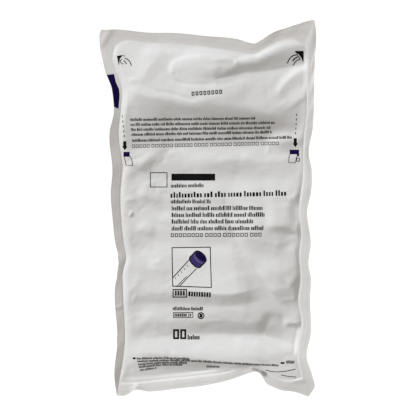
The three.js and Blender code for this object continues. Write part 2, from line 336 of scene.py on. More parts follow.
# The panel inside the head seal lies deeper than the seal, but for its raised left corner. Places in y
# say where it is deepest and where it has risen near the head seal.
PANEL_SINK = 5.2
PANEL_SINK_AT_HEAD = 0.7
PANEL_SINK_PLACES = (72, 114)
CORNER_FOOT = [(-28, 125), (-32, 114), (-37, 106), (-43, 97), (-47, 90), (-53, 78), (-60, 66)]
CORNER_REACH = 26.0
PANEL_RISE = (30, 68)  # where the panel comes back up towards the right seal, in x

# The lid over the rows hangs lower to the right of the middle: places in x and how much.
BED_SINK = [(-64, 0), (-25, 0.3), (10, 1.8), (36, 3.2), (47, 2), (58, 0.3), (66, 0)]
BED_PLACES = (-112, -92, -4, 24)  # in y: starts, is full from, is full to, ends

# Ridges over the rows of tubes from foot to head: heights at places in x.
ROW_PLACES = (-55, 0, 55)
ROW_HEIGHTS = [
    (0.2, 0.2, 0.2), (0.3, 0.2, 0.2), (1.6, 0.1, 0.1), (0.5, 0.3, 0), (0.8, 0.8, 0.7), (0.7, 0.8, 0.7),
    (0.7, 0.9, 0.9), (1, 1.2, 1.1),
]

# Round hollow of the head panel: middle, half sizes, how square it is, step at its rim, how wide the rim
# is, and the share of the step that is there: in the middle, and what is added across and along. Its
# floor runs down to a dimple, and hardly rises again towards the foot.
HOLLOW_MIDDLE = (-1.0, 97.0)
HOLLOW_HALF_SIZE = (27.5, 11.4)
HOLLOW_POWER = 2.4
HOLLOW_STEP = 1.1
HOLLOW_RIM_SHARE = 0.87
HOLLOW_STEP_SHARES = (0.5, -0.62, 0.55)
HOLLOW_INNER_STEP = 0.3
HOLLOW_INNER_SHARES = (0.72, 0.82)
DIMPLE_PLACE = (2.0, 93.5)
DIMPLE_REACH = 26.0
DIMPLE_DEPTH = 3.2
DIMPLE_ROUNDING = 0.3
DIMPLE_FOOT_STRETCH = 0.25

# Folds, as fold_depth takes them: points (x, y, depth), widths of the left and right walls, how sharp the
# fold is, and shares of its path over which it fades in and out. A depth under 0 is a raised fold.
HEAD_FOLDS = [
    # Dimple where the long fold starts.
    ([(-6, 96, 0.2), (2, 95.8, 0.5), (8, 93, 0.4)], 10, 5, 0.2, (0.5, 0.3)),
    # Long fold into the right corner, and the swelling below it.
    ([(17, 101, 0.4), (22, 103.3, 1.1), (30, 105.8, 1.6), (41, 109.4, 1.2), (54, 113.6, 0.9), (69, 115, 0.8)],
     [3, 3, 3, 3.5, 4.5, 5], [4, 7, 9, 9, 11, 12], 0.6, (0.15, 0)),
    ([(5, 90.6, -0.3), (9, 91.4, -0.8), (15, 92.6, -1.7), (25, 94.6, -3.2), (35, 95.6, -4.7), (46, 96.8, -5),
      (58, 99.2, -4.3), (70, 102, -3.2)],
     [1.8, 2.2, 4, 7, 9.5, 12, 13.5, 14], [10, 16, 26, 44, 52, 48, 34, 22], 0.85, (0.04, 0)),
    # Inner edge of the hollow beside the long fold.
    ([(-6, 103.6, 0.2), (4, 104.2, 0.4), (13, 105, 0.5), (19, 104.6, 0.5), (20, 101.5, 0.4), (17, 98.5, 0.2)],
     1.6, 2.4, 0.6, (0.2, 0.2)),
    # Foot side of the hollow's rim.
    ([(-27, 91.5, -0.3), (-18, 88.2, -0.8), (-5, 87, -0.8), (10, 87.2, -0.7), (27, 89.4, -0.2)],
     13, 2.4, 0.5, (0.2, 0.2)),
    # Lens-shaped dent at the right edge, and the dent below it.
    ([(48.5, 76, 0.6), (51, 83, 1.2), (56, 89.5, 1.5), (61.5, 94, 1.6), (69, 97, 1.3)],
     [4, 4.8, 5, 4.8, 4.5], [7, 7, 8, 9, 9], 0.7, (0.25, 0)),
    ([(50, 68, 0.3), (57, 71, 0.5), (63, 75, 0.8), (70, 79, 0.8)],
     [6, 7, 7, 7], [3, 3.2, 3.5, 4], 0.7, (0.3, 0)),
    # Small folds of the raised corner.
    ([(-57, 89.6, 0.4), (-52, 90, 0.7), (-47.5, 89, 0.3)], 2.4, 3, 0.7),
    ([(-61, 92, 0.5), (-58.5, 87.5, 0.8), (-59.5, 80, 0.4)], 1.8, 2, 0.7),
    # Foot of the raised corner.
    ([(-47.5, 88, 0.5), (-42.5, 97, 1), (-37, 105.5, 1), (-31, 113, 0.5)],
     [8, 12, 12, 8], [7, 9, 10, 8], 0.5, (0.15, 0.15)),
    # Bend round the panel.
    ([(-48, 88.5, -0.4), (-41, 84, -0.5), (-36, 82, -0.5), (-25, 80.3, -0.5), (-15, 77.3, -0.5),
      (-8, 75.2, -0.4)], [3, 2.5, 2.5, 2.5, 2.5, 3], 2, 0.7, (0.1, 0.1)),
    ([(-14, 91, -0.3), (3, 91.4, -0.9), (18, 92, -0.9), (34, 93.4, -0.3)], 8, 28, 0.5),
    ([(-9, 75, 0.4), (5, 77.8, 0.7), (15, 80.3, 0.8), (22, 83.3, 0.8), (26, 88, 0.6), (26, 92, 0.3)],
     [10, 12, 12, 12, 10, 8], [5, 8, 9, 9, 8, 7], 0.5, (0.1, 0.25)),
    # Dip above the crest at the right end of the slope.
    ([(36, 45, 0.4), (50, 46, 1.8), (60, 47, 2), (68, 48, 0.2)], [8, 9, 10, 10], 8, 0.6, (0.3, 0)),
    ([(40.5, 37, 0.2), (42, 41, 0.5), (42.4, 46, 0.4)], 1.2, 3, 0.7),
]
ROW_FOLDS = [
    # Dent between the first rows on the left, with dimples beside it.
    ([(-49.8, 25.4, 0.8), (-46.8, 30, 2.2), (-41.6, 35, 2.5), (-35.6, 39.2, 2), (-27.6, 43.4, 0.7)],
     [18, 24, 28, 26, 18], [6.5, 8.5, 8.5, 8, 7], 0.6, (0.2, 0.12)),
    ([(-58, 31, 0.3), (-55, 27, 0.6), (-52, 21, 0.4)], 8, 6, 0.4),
    ([(-51, 10, 0.4), (-45, 9, 1.1), (-38, 6.4, 0.8), (-31, 4.6, 0.8)], 8, 5, 0.5),
    ([(-49, -10, 0.3), (-46, -14.5, 1), (-41, -17, 1.1), (-35, -17.2, 0.4)], 9, 5, 0.5),
    ([(-57, -26, -0.3), (-49, -28, -0.9), (-41, -32, -0.8), (-33, -37, -0.3)], 8, 9, 0.7),
    ([(-56, -62, 0.3), (-51, -54, 0.5), (-45, -44, 0.3)], 6, 5, 0.4),
    # Short creases.
    ([(-53, -1, 0.6), (-53.4, -4, 1.2), (-55.5, -7, 0.5)], 1.8, 2, 0.7),
    ([(-59, 5, 0.4), (-54, 6, 0.7), (-50, 4, 0.3)], 3, 3),
    ([(38, -12.6, 0.6), (46, -12.8, 1.4), (54, -13.8, 1.6), (60, -15.6, 1.6), (66, -18.8, 1.2)],
     48, [4, 4.6, 4.4, 3.6, 3], 0.85, (0.25, 0)),
    ([(56.5, 5, 0.5), (57, -3, 0.8), (57.5, -10, 0.8), (58.5, -15, 0.5)], 5, 20, 0.7, (0.2, 0.3)),
    # Crest beside the right seal.
    ([(61.5, -15, -0.7), (62.4, -4, -1.5), (62, 6, -0.8)], 9, 2.6, 0.5),
    # Folds across the rows.
    ([(12, -19.6, 1.1), (30, -21.4, 2.4), (46, -25, 2.1), (58, -30, 0.9)], 34, 11, 0.5),
    ([(-24, -20, 0.6), (-2, -20.5, 1.1), (18, -20.5, 0.6)], 16, 8, 0.5),
    ([(-57, -40.5, 0.5), (-46, -42, 1.1), (-36, -43.5, 1.2), (-22, -45, 0.5)], 10, 11, 0.4),
    ([(-12, 35, 0.4), (15, 34, 1.1), (42, 34, 0.6)], 11, 8, 0.5),
    ([(-6, -71.5, 0.4), (18, -72, 1.1), (32, -73, 0.5)], 45, 9, 0.5),
    ([(30, 10, -0.4), (45, 10, -0.6), (57, 11, -0.4)], 11, 22, 0.3),
    ([(34, -43, 0.6), (50, -44.5, 1.2), (63, -46, 0.9)], 12, 9, 0.4),
    ([(55, 4.5, 0.6), (60, 7.5, 0.9), (67, 11, 0.6)], 4, 5, 0.7),
    ([(55.5, -55.5, 0.7), (60, -52.6, 1.5), (67, -49.5, 0.9)], 7, 3.6, 0.8, (0.3, 0)),
    ([(43, -60, 1.2), (49, -57, 2.7), (62, -56, 1.7)], [22, 30, 30], [8, 13, 15], 0.6, (0.25, 0)),
    # Step up to the rows near the foot, which lie a little higher, and the crest of the last row.
    ([(-60, -65.5, 0.3), (-50, -62.6, 0.6), (-38, -60, 1.3), (-20, -59.8, 2.6), (0, -60.3, 4),
      (16, -60.6, 4.6), (30, -58, 3.8), (44, -52, 1.6)],
     [12, 30, 54, 78, 80, 70, 52, 20], [5, 6, 7.5, 8, 8.5, 8.5, 9, 11], 0.8, (0, 0.25)),
    ([(-56, -94, -0.2), (-44, -91.5, -0.9), (-20, -88.8, -2), (0, -88.1, -3.3), (20, -88.3, -3.9),
      (37, -89.2, -3.6), (50, -92, -3), (67, -99.5, -1.9)],
     [12, 12, 11, 9.5, 9.5, 9, 9.5, 10], [12, 15, 17, 20, 21, 19, 15, 12], 0.45, (0.15, 0)),
    ([(-44, -91, -0.2), (-20, -88.6, -0.8), (0, -87.6, -1.5), (20, -87.8, -1.8), (40, -89.5, -1.9),
      (51, -92, -1.6), (60, -97, -0.3)], 24, 19, 0.2, (0.15, 0)),
    # Crest that runs up from it on the right, and the sunken triangle beside it.
    ([(37, -89.5, -0.7), (40.6, -83, -2.2), (43.2, -77, -2.5), (44.4, -70.5, -1.5)],
     [6, 6, 5.5, 5], [60, 70, 70, 60], 0.75, (0.1, 0.55)),
    ([(52, -81.2, 0.9), (58, -80.6, 1.7), (67, -81.6, 1.4)], 8, 3.6, 0.8, (0.3, 0)),
    ([(43.5, -104.5, 0.3), (46.5, -101.6, 0.6), (53, -100.4, 0.5), (62, -100, 0.4)],
     [16, 18, 14, 12], [6, 9, 10, 10], 0.75, (0.15, 0)),
    # Crest beside the foot seal and long dip before it.
    ([(-60, -118.6, -0.7), (-35, -117, -1), (-13, -114.8, -1.3), (4, -112.6, -1.2), (16, -110.8, -0.5)],
     [9, 10, 9, 6, 5], 3.4, 0.5, (0.05, 0.35)),
    ([(-58, -102, 2.4), (-30, -102.5, 2.7), (-8, -105.5, 2), (10, -107.5, 1.4), (25, -109, 1.3),
      (42, -110, 1.1)], [12, 13, 13, 12, 10, 10], [14, 13, 9, 6, 4, 4], 0.5, (0.1, 0.15)),
]
# Those of the sealed edge.
EDGE_FOLDS = [
    ([(29, -110.8, 1.2), (35, -112.8, 3.4), (41, -117, 2.2)], 5.5, 2.6, 0.6, (0.2, 0.15)),
    ([(-76, 112, 0.5), (-71, 120, 0.9), (-67, 126, 0.7)], 4, 2.5, 0.6, (0.1, 0.1)),
    ([(62, 131, 0.3), (66, 126, 0.6), (71, 121, 0.3)], 3, 3),
    ([(-53, -131, 0.5), (-50, -125, 0.7), (-46, -122, 0.4)], 3, 5, 0.6, (0.1, 0.3)),
    ([(-66, -70.5, 0.5), (-58, -69, 0.6)], 2.2, 1.6, 0.6, (0, 0)),
    ([(56, -121.4, 0.4), (64, -120.6, 0.7), (70, -121.4, 0.4)], 4, 2.4),
]

# Small creases, seeded: seed, count, box of their middles in x and y, ranges of their length, width and
# depth, and how far they turn from the X axis, in radians.
CREASES = [
    (3, 90, ((-60, 62), (-112, 60)), (8, 26), (2, 4.5), (0.12, 0.4), 0.5),
    (5, 60, ((-60, -25), (-112, 40)), (5, 14), (1.2, 2.8), (0.1, 0.35), 1.5),
    (8, 40, ((-60, 62), (60, 112)), (8, 24), (2, 5), (0.1, 0.3), 1.5),
]
CREASE_BEND = 0.25
CREASE_FAR_WALL = 1.6  # its right wall against its left one
CREASE_SHARP = 0.5
CREASE_FADE = (0.45, 0.45)

# The lid sinks by LID_DIP inside the seal, more gently at the head and foot. Just inside each side seal
# it sinks deeper, as (y, depth). Values under 0 are rises.
LID_DIP = 1.0
LID_DIP_WIDTH = 2.5
END_SHARE = 0.4
LEFT_DIP_PLACE = 2.3
RIGHT_DIP_PLACE = 3.4
RIGHT_DIP = [
    (-120, 0.1), (-105, 0.3), (-96, 1), (-86, 0.8), (-65, 0), (-50, 0.4), (-28, 0.9), (-18, 0.1), (-8, -0.5),
    (3, -0.5), (12, 0), (22, -0.3), (32, -0.9), (45, -1.1), (65, -0.8), (78, 0), (110, 0.1),
]
LEFT_DIP = [
    (-120, 0.05), (-100, 0), (-85, 0.1), (-60, 0.6), (0, 0.6), (30, 0.6), (45, 0.5), (70, 0.3), (92, 0.3),
    (104, 0.9), (114, 0.8),
]

# Widths inside the seal over which the lid takes up its own level, its ridges, its panel and its folds.
SEAL_BLEND = 9.0
RIDGE_BLEND = 14.0
PANEL_BLEND = 4.0
PANEL_HEAD_BLEND = 0.5  # share of the distance from the head that counts
FOLD_BLEND = 2.6


def head_share(x, y):
    """How far down the slope to the head panel a place lies: 0 on the rows of tubes, 1 on the panel."""
    start, end = curve_through(HEAD_SLOPE_START)(x), curve_through(HEAD_KINK)(x)
    reach, bend = curve_through(HEAD_KINK_REACH)(x), curve_through(HEAD_SLOPE_BEND)(x)
    total = np.zeros(np.shape(x))
    for offset in SLOPE_SAMPLES:
        total = total + np.clip((y + offset * reach - start) / (end - start), 0, 1) ** bend
    return total / len(SLOPE_SAMPLES)


def corner_lift(x, y):
    from_corner = np.hypot(x - CORNER_PLACE[0], y - CORNER_PLACE[1])
    return CORNER_LIFT * np.clip(1 - from_corner / CORNER_LIFT_REACH, 0, 1) ** CORNER_LIFT_POWER


def seal_share(x, y):
    """How far down to the head's level the seal has come."""
    return smoothstep(y - LEFT_SEAL_LAG * (1 - smoothstep(x, *LEFT_SEAL_PLACES)), *SEAL_SLOPE)


def rim_height(points):
    """Height of the seal."""
    x, y = from_middle(points)
    return RIM_HEIGHT - HEAD_DROP * seal_share(x, y) + corner_lift(x, y)


def lid_level(x, y):
    """Height of the lid before its folds."""
    start, full, last, end = BED_PLACES
    bed = curve_through(BED_SINK)(x) * smoothstep(y, start, full) * (1 - smoothstep(y, last, end))
    pull = SEAL_PULL * smoothstep(x, *SEAL_PULL_PLACES)
    share = mix(head_share(x, y), seal_share(x, y), pull)
    return RIM_HEIGHT - HEAD_DROP * share + corner_lift(x, y) - bed


def panel_sink(x, y):
    """How much deeper than its seal the head panel lies."""
    distance, _ = beside_path(smooth_path(CORNER_FOOT), x, y)
    level = np.clip(1 + distance / CORNER_REACH, 0, 1) * (1 - smoothstep(x, *PANEL_RISE))
    deepest, risen = PANEL_SINK_PLACES
    depth = mix(PANEL_SINK, PANEL_SINK_AT_HEAD, np.clip((y - deepest) / (risen - deepest), 0, 1))
    return depth * level * head_share(x, y)


def hollow(x, y):
    """Round hollow with a stepped rim at its left and head sides, and a floor down to a dimple."""
    across, along = (x - HOLLOW_MIDDLE[0]) / HOLLOW_HALF_SIZE[0], (y - HOLLOW_MIDDLE[1]) / HOLLOW_HALF_SIZE[1]
    away = (np.abs(across) ** HOLLOW_POWER + np.abs(along) ** HOLLOW_POWER) ** (1 / HOLLOW_POWER)
    middle, per_across, per_along = HOLLOW_STEP_SHARES
    deep = np.clip(middle + per_across * across + per_along * along, 0, 1)
    step = HOLLOW_STEP * deep * (1 - smoothstep(away, HOLLOW_RIM_SHARE, 1))
    inner = HOLLOW_INNER_STEP * deep * np.clip(-across, 0, 1) * (1 - smoothstep(away, *HOLLOW_INNER_SHARES))
    off_y = (y - DIMPLE_PLACE[1]) * np.where(y < DIMPLE_PLACE[1], DIMPLE_FOOT_STRETCH, 1)
    to_dimple = np.hypot((x - DIMPLE_PLACE[0]) / DIMPLE_REACH, off_y / DIMPLE_REACH)
    bowl = DIMPLE_DEPTH * np.clip(1 - np.hypot(to_dimple, DIMPLE_ROUNDING), 0, 1)
    return step + inner + bowl


def row_ridges(x, y):
    """Soft ridges of the film over the rows of tubes."""
    total = np.zeros(x.shape)
    for row, heights in enumerate(ROW_HEIGHTS):
        height = curve_through(list(zip(ROW_PLACES, heights)))(x)
        distance = np.abs(y - (FIRST_ROW_Y + row * CAP_DIAMETER)) / (CAP_DIAMETER / 2)
        total += height * np.cos(np.clip(distance, 0, 1) * math.pi / 2) ** 2
    return total


def small_creases(x, y, seed, count, box, length, width, depth, turn):
    """Many short creases, laid out as CREASES says. Half of them are raised."""
    random = np.random.default_rng(seed)
    total = np.zeros(x.shape)
    for _ in range(count):
        middle = np.array([random.uniform(*box[0]), random.uniform(*box[1])])
        angle = random.uniform(-turn, turn)
        half = random.uniform(*length) / 2 * np.array([math.cos(angle), math.sin(angle)])
        bend = random.uniform(-CREASE_BEND, CREASE_BEND) * np.array([-half[1], half[0]])
        wall = random.uniform(*width)
        deep = random.uniform(*depth) * random.choice([-1, 1])
        points = [(*point, deep) for point in (middle - half, middle + bend, middle + half)]
        total += fold_depth(x, y, points, wall, wall * CREASE_FAR_WALL, CREASE_SHARP, CREASE_FADE)
    return total


def lid_heights(points, edges, s, t):
    """Heights of the lid for a grid of points inside the seal line."""
    x, y = from_middle(points)
    from_left = points[..., 0] - edges["left"](t)[..., 0]
    from_right = edges["right"](t)[..., 0] - points[..., 0]
    from_foot = points[..., 1] - edges["foot"](s)[..., 1]
    from_head = edges["head"](s)[..., 1] - points[..., 1]
    inset = np.minimum.reduce([from_left, from_right, from_foot, from_head])
    near_edge = np.minimum.reduce([inset, from_head * END_SHARE, from_foot * END_SHARE])
    free = 1 - np.exp(-np.maximum(near_edge, 0) / LID_DIP_WIDTH)
    level_share = smoothstep(inset, 0, SEAL_BLEND)
    heights = mix(rim_height(points), lid_level(x, y), level_share) - LID_DIP * free
    for distance, dips, width in (
        (from_left, LEFT_DIP, LEFT_DIP_PLACE), (from_right, RIGHT_DIP, RIGHT_DIP_PLACE)
    ):
        place = np.maximum(distance, 0) / width
        heights -= curve_through(dips)(y) * place * np.exp(1 - place) * free
    heights += row_ridges(x, y) * smoothstep(inset, 0, RIDGE_BLEND)
    sunk = hollow(x, y)
    for fold in HEAD_FOLDS + ROW_FOLDS:
        sunk = sunk + fold_depth(x, y, *fold)
    for creases in CREASES:
        sunk = sunk + small_creases(x, y, *creases)
    panel_share = smoothstep(np.minimum(inset, from_head * PANEL_HEAD_BLEND), 0, PANEL_BLEND)
    return heights - panel_sink(x, y) * panel_share - sunk * smoothstep(inset, 0, FOLD_BLEND)


# ---- Film meshes ----


def add_object(name, data):
    thing = bpy.data.objects.new(name, data)
    bpy.context.collection.objects.link(thing)
    return thing


class Skin:
    """Points and faces of a mesh, added as grids and rings. New faces get the material number kind."""

    def __init__(self):
        self.points = []
        self.faces = []
        self.kinds = []
        self.kind = 0
        self.count = 0

    def add(self, points):
        """Adds an array of points and returns their numbers in the same layout."""
        points = np.asarray(points, dtype=float)
        numbers = self.count + np.arange(points[..., 0].size).reshape(points.shape[:-1])
        self.points.append(points.reshape(-1, 3))
        self.count += numbers.size
        return numbers

    def add_faces(self, corners):
        faces = np.stack(corners, axis=-1).reshape(-1, len(corners)).tolist()
        self.faces += faces
        self.kinds += [self.kind] * len(faces)

    def grid(self, numbers):
        self.add_faces([numbers[:-1, :-1], numbers[1:, :-1], numbers[1:, 1:], numbers[:-1, 1:]])

    def stitch(self, first, second):
        """Band between two rings, the first nearer to the middle of the lid."""
        self.add_faces([first, second, np.roll(second, -1), np.roll(first, -1)])

    def stitch_on(self, last, rings, inside_out=False):
        """Adds rings of points, stitches each to the one before, and returns the last one's numbers."""
        for points in rings:
            ring = self.add(points)
            self.stitch(*((ring, last) if inside_out else (last, ring)))
            last = ring
        return last

    def fan(self, ring, hub):
        self.add_faces([np.full(ring.shape, hub), np.roll(ring, -1), ring])

    def make(self, name, materials, slot):
        """Makes the piece, which rides on the pack's one body and stands for its CAD solid."""
        mesh = bpy.data.meshes.new(name)
        mesh.from_pydata((np.concatenate(self.points) * MM).tolist(), [], self.faces)
        mesh.polygons.foreach_set("use_smooth", [True] * len(mesh.polygons))
        mesh.set_sharp_from_angle(angle=math.radians(SHARP_ANGLE))
        for material in materials:
            mesh.materials.append(material)
        mesh.polygons.foreach_set("material_index", self.kinds)
        mesh.update()
        piece = add_object(name, mesh)
        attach(piece, "root")
        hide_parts(NODE)
        return piece


def with_height(points, heights):
    return np.concatenate([points, np.asarray(heights)[..., None]], axis=-1)


def edge_waves(count, waves, seed):
    """Seeded ripple round a loop of count points, with whole waves from a (fewest, most) range."""
    random = np.random.default_rng(seed)
    turn = np.arange(count) / count * 2 * math.pi
    ripple = np.zeros(count)
    for number in range(*waves):
        ripple += random.normal() * np.sin(number * turn + random.uniform(0, 2 * math.pi))
    return ripple / math.sqrt(waves[1] - waves[0])


def round_edges(values, passes):
    """Values of the four edges in one loop in the order of border_shares, smoothed at the corners."""
    s, t = border_shares()
    foot, head = (curve_through(values[name])(s) for name in ("foot", "head"))
    left, right = (curve_through(values[name])(t) for name in ("left", "right"))
    loop = np.select([t == 0, (s == 1) & (t < 1), t == 1], [foot, right, head], left)
    return smooth_loop(loop, passes)


def seal_edge_rings(seal_loop, outline_loop):
    """Rings of the drooping edge, from the seal line out to the free edge."""
    reach = smooth_loop(np.linalg.norm(outline_loop - seal_loop, axis=-1), REACH_PASSES)
    droop = MIN_DROOP + round_edges(EDGE_TILT, TILT_PASSES) * reach
    shoulder = round_edges(SHOULDER, SHOULDER_PASSES)
    ripple = smooth_loop(edge_waves(len(reach), RIPPLE_WAVES, RIPPLE_SEED), RIPPLE_PASSES)
    rings = []
    for ring in range(1, SEAL_RINGS + 1):
        share = ring / SEAL_RINGS
        points = mix(seal_loop, outline_loop, share)
        heights = rim_height(seal_loop) - droop * share**DROOP_POWER
        heights = heights + RIPPLE_HEIGHT * ripple * share**RIPPLE_POWER
        heights = heights - shoulder * (1 - np.exp(-share * reach / SHOULDER_WIDTH))
        heights = heights + PRESS_DEPTH * math.cos(math.pi * PRESS_LINES * 2 * share)
        for fold in EDGE_FOLDS:
            heights = heights - fold_depth(*from_middle(points), *fold)
        rings.append(with_height(points, heights))
    return rings


def lid_surface():
    """Grid of the lid inside the seal line and the rings of the edge outside it."""
    seal_edges = edge_curves(SEAL_LINE)
    s, t = lid_shares()
    plan = points_inside(seal_edges, s, t)
    grid = with_height(plan, lid_heights(plan, seal_edges, s, t))
    outline_loop = points_inside(edge_curves(OUTLINE), *border_shares())
    return grid, seal_edge_rings(border_of(plan), outline_loop)


def make_lid_film(grid, edge_rings, materials):
    """The lid web: a thin closed sheet."""
    down = np.array([0, 0, -LID_THICKNESS])
    skin = Skin()
    top = skin.add(grid)
    skin.grid(top)
    skin.kind = 1
    last = skin.stitch_on(border_of(top), [*edge_rings, *(ring + down for ring in reversed(edge_rings))])
    under = skin.add(grid + down)
    skin.stitch(last, border_of(under))
    skin.kind = 0
    skin.grid(under[:, ::-1])
    return skin.make("lid_film", materials, "film")


def outward_normals(loop):
    tangent = np.roll(loop, -1, axis=0) - np.roll(loop, 1, axis=0)
    tangent /= np.linalg.norm(tangent, axis=-1, keepdims=True)
    return np.stack([tangent[:, 1], -tangent[:, 0]], axis=-1)


def round_corners(points, half_size, radius):
    """Moves the edge points of a rectangle round its middle onto its rounded corners."""
    beyond = np.abs(points) - (half_size - radius)
    in_corner = (beyond > 0).all(axis=-1)
    scale = radius / np.linalg.norm(beyond[in_corner], axis=-1, keepdims=True)
    rounded = points.copy()
    rounded[in_corner] = np.sign(points[in_corner]) * (half_size - radius + beyond[in_corner] * scale)
    return rounded


def plain_pocket_loop(seal_loop):
    """Foot of the pocket's walls: a plain round-cornered rectangle beside the seal loop."""
    low, high = seal_loop.min(axis=0) + [WALL_DRAFT, FOOT_DRAFT], seal_loop.max(axis=0) - WALL_DRAFT
    half_size = (high - low) / 2
    points = (2 * np.stack(border_shares(), axis=-1) - 1) * half_size
    return round_corners(points, half_size, BACK_RADIUS + FLOOR_CORNER_RADIUS) + (low + high) / 2


# Tubes behind the walls, in layers of which each second one is shifted by a share of a row: how far and
# how wide their caps, tips and sides push the film out, and how squarely a wall has to face them.
LAYER_PITCH = 17.2
FIRST_LAYER_HEIGHT = 10.5
LAYER_COUNT = 5
LAYER_SHIFT = 0.5
CAP_BUMP = 1.5
CAP_BUMP_RIM = (5.5, 11.5)
TIP_BUMP = 1.4
TIP_BUMP_REACH = 6.5
SIDE_BUMP = 1.2
FACING = (0.8, 0.99)
BUMP_START = (3, 14)  # below the rim
BUMP_END = 6.0  # above and below where the wall bends into the back

# Pleats under the rim and swells of the whole wall: whole waves round the pack, and seeds.
PLEAT_WAVES = (40, 110)
PLEAT_SEEDS = (21, 22)
PLEAT_DEPTH = 0.9
PLEAT_REACH = 17.0
PLEAT_START = (0, 4)
SWELL_WAVES = (6, 24)
SWELL_SEEDS = (31, 32, 33)
SWELL_DEPTH = 0.5


def wall_bumps(x, y, height, normals):
    """How far the tubes inside push out the walls: caps at the right, tips at the left, sides."""
    caps, tips = np.zeros(x.shape), np.zeros(x.shape)
    for layer in range(LAYER_COUNT):
        layer_height = FIRST_LAYER_HEIGHT + layer * LAYER_PITCH
        rows_y = (y - FIRST_ROW_Y) / CAP_DIAMETER - LAYER_SHIFT * (layer % 2)
        across = (rows_y - np.round(rows_y)) * CAP_DIAMETER
        away = np.hypot(across, height - layer_height)
        caps = np.maximum(caps, 1 - smoothstep(away, *CAP_BUMP_RIM))
        tips = np.maximum(tips, np.exp(-((away / TIP_BUMP_REACH) ** 2)))
    layers = (height - FIRST_LAYER_HEIGHT) / LAYER_PITCH
    sides = np.cos((layers - np.round(layers)) * math.pi) ** 2
    to_side, to_end = (smoothstep(np.abs(column), *FACING) for column in normals.T)
    ends = np.where(normals[:, 0] > 0, CAP_BUMP * caps, TIP_BUMP * tips)
    return ends * to_side + SIDE_BUMP * sides * to_end


def wall_rings(seal_loop):
    """Rings of the pocket from just under the seal line to the edge of the flat back."""
    plain = plain_pocket_loop(seal_loop)
    normals = outward_normals(plain)
    rim = rim_height(seal_loop) - LID_THICKNESS - WEB_GAP - FORMED_THICKNESS
    count = len(plain)
    pleats = [edge_waves(count, PLEAT_WAVES, seed) for seed in PLEAT_SEEDS]
    swells = [edge_waves(count, SWELL_WAVES, seed) for seed in SWELL_SEEDS]
    rings = []
    for ring in range(1, WALL_RINGS + 1):
        share = ring / WALL_RINGS
        heights = mix(rim, BACK_RADIUS, share)
        below_rim = rim - heights
        place = mix(seal_loop, plain, math.sqrt(share))
        out = WALL_BULGE * math.sin(math.pi * share) * np.ones(count)
        bump_share = smoothstep(below_rim, *BUMP_START)
        bump_share = bump_share * smoothstep(heights, BACK_RADIUS - BUMP_END, BACK_RADIUS + BUMP_END)
        out += wall_bumps(*from_middle(plain), heights, normals) * bump_share
        pleat = mix(*pleats, share)
        out += PLEAT_DEPTH * pleat * np.exp(-below_rim / PLEAT_REACH) * smoothstep(below_rim, *PLEAT_START)
        swell = mix(mix(swells[0], swells[1], share), swells[2], share)
        out += SWELL_DEPTH * swell * math.sin(math.pi * share)
        rings.append(with_height(place + normals * out[:, None], heights))
    for ring in range(1, BACK_RINGS + 1):
        angle = math.pi / 2 * ring / BACK_RINGS
        inset = BACK_RADIUS * (1 - math.cos(angle))
        heights = np.full(count, BACK_RADIUS * (1 - math.sin(angle)))
        rings.append(with_height(plain - normals * inset, heights))
    return rings, normals


def make_formed_film(seal_loop, edge_rings, materials):
    """The formed web: sealed edge, walls and back as a thin closed shell."""
    drop = LID_THICKNESS + WEB_GAP
    seal_top = with_height(seal_loop, rim_height(seal_loop) - drop)
    top_rings = [ring - [0, 0, drop] for ring in edge_rings]
    under_rings = [ring - [0, 0, drop + FORMED_THICKNESS] for ring in reversed(edge_rings)]
    seal_under = seal_top - [0, 0, FORMED_THICKNESS]
    walls, normals = wall_rings(seal_loop)
    skin = Skin()
    first = skin.add(seal_top)
    skin.kind = 1
    last = skin.stitch_on(first, [*top_rings, *under_rings, seal_under])
    skin.kind = 0
    last = skin.stitch_on(last, walls)
    middle = walls[-1].mean(axis=0)
    skin.fan(last, skin.add(middle))
    inward = np.concatenate([-normals, np.zeros((len(normals), 1))], axis=-1) * FORMED_THICKNESS
    inner = [np.maximum(ring + inward, [-np.inf, -np.inf, FORMED_THICKNESS]) for ring in walls]
    last = skin.stitch_on(first, inner, inside_out=True)
    skin.fan(last[::-1], skin.add(middle + [0, 0, FORMED_THICKNESS]))
    skin.make("formed_film", materials, "film")


# ---- Print ----

INK_LIFT = 0.05
INK_SINK = 0.1
INK_STEP = 0.9  # longest side of an ink cell
ARC_STEPS = 12  # in half a turn
RING_PART = 4  # steps of a ring in one area
TALL_LETTER = 1.4
WORD_GAP = 0.35


def part_lengths(points):
    return np.linalg.norm(np.diff(np.array(points, dtype=float), axis=0), axis=-1)


def reach_along(points):
    """How far along a polyline each of its points lies."""
    return np.concatenate([[0], np.cumsum(part_lengths(points))])


def points_at(points, reach, at):
    """Points of a polyline at places along it."""
    return np.stack([np.interp(at, reach, column) for column in points.T], axis=-1)


def resampled(points, count):
    """count points evenly spaced along a polyline."""
    points = np.array(points, dtype=float)
    reach = reach_along(points)
    return points_at(points, reach, np.linspace(0, reach[-1], count))


